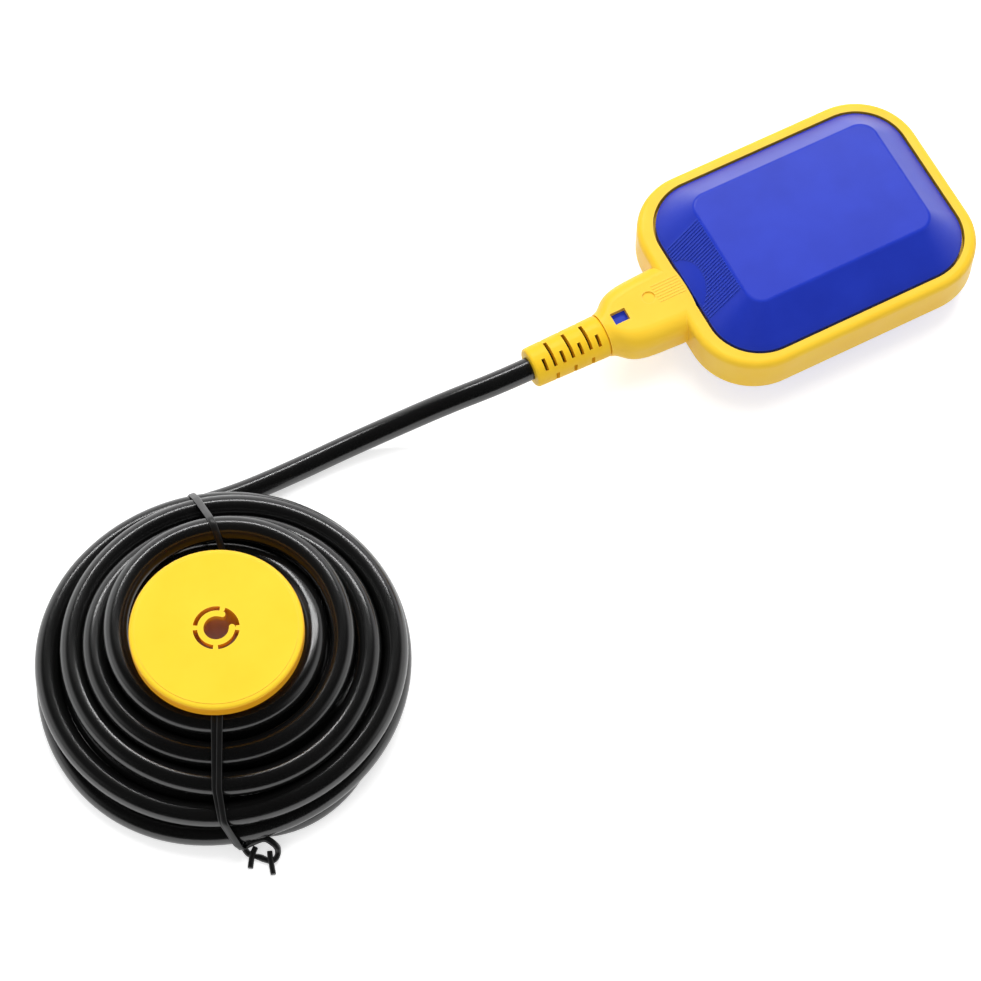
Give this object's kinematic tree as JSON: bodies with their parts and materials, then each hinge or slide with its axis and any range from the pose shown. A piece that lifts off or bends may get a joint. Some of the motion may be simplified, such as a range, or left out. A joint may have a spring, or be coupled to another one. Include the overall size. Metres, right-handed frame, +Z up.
{
  "type": "cable float switch",
  "caption": "Level switch for a pump: a flat sealed float with a ball-worked switch, on a coiled cable with a drum-shaped counterweight.",
  "frame": {"origin": "middle of the float's footprint, on the surface that it rests on", "axes": "+X along the float's length, away from its cable; +Z up, square to the float's flat faces"},
  "size_m": [0.3586, 0.1479, 0.045],
  "materials": {
    "shell_blue": "semi-gloss moulded",
    "frame_yellow": "semi-gloss moulded",
    "boot_yellow": "soft satin",
    "seal_rubber": "matt",
    "resin": "cast",
    "cable_black": "semi-gloss",
    "clamp_grey": "matt moulded",
    "carrier_grey": "matt moulded",
    "ball_steel": "polished",
    "case_black": "matt moulded",
    "cover_red": "matt moulded",
    "contact_brass": "plain",
    "plunger_white": "smooth",
    "spring_steel": "plain",
    "screw_steel": "zinc plated",
    "core_brown": "smooth",
    "core_blue": "smooth",
    "core_black": "smooth",
    "tie_black": "smooth",
    "weight_yellow": "gloss moulded",
    "ballast_iron": "raw"
  },
  "bodies": {
    "float": {"upper_shell": "shell_blue", "lower_shell": "shell_blue", "outer_frame": "frame_yellow", "cable_boot": "boot_yellow", "cable_seal": "seal_rubber", "sealing_resin": "resin", "cable_head": "cable_black", "cable_lead": "cable_black", "cable_coil": "cable_black", "cord_clamp": "clamp_grey", "switch_carrier": "carrier_grey", "track_cover": "carrier_grey", "microswitch_case": "case_black", "microswitch_cover": "cover_red", "terminal_common": "contact_brass", "terminal_open": "contact_brass", "terminal_closed": "contact_brass", "lever_pin": "spring_steel", "carrier_screws": "screw_steel", "clamp_screws": "screw_steel", "switch_screws": "screw_steel", "wire_brown": "core_brown", "tail_brown": "core_brown", "wire_blue": "core_blue", "tail_blue": "core_blue", "wire_black": "core_black", "tail_black": "core_black", "coil_tie_near": "tie_black", "coil_tie_far": "tie_black", "weight_lid": "weight_yellow", "weight_cup": "weight_yellow", "weight_ballast": "ballast_iron"},
    "ball": {"steel_ball": "ball_steel"},
    "lever": {"switch_lever": "spring_steel"},
    "plunger": {"switch_plunger": "plunger_white"}
  },
  "joints": [
    {"name": "ball_slide", "type": "slide", "parent": "float", "child": "ball", "axis": [-1, 0, 0], "range_m": [0, 0.013]},
    {"name": "lever_hinge", "type": "hinge", "parent": "float", "child": "lever", "pos_m": [0.0224, -0.0114, 0.0196], "axis": [0, 0, 1], "range_deg": [0, 6.2], "stiffness_Nm_per_rad": 0.025},
    {"name": "plunger_slide", "type": "slide", "parent": "float", "child": "plunger", "axis": [-1, 0, 0], "range_m": [0, 0.00135]}
  ],
  "couplings": [
    {"joint": "plunger_slide", "follows": "lever_hinge", "m_per_rad": 0.012}
  ]
}
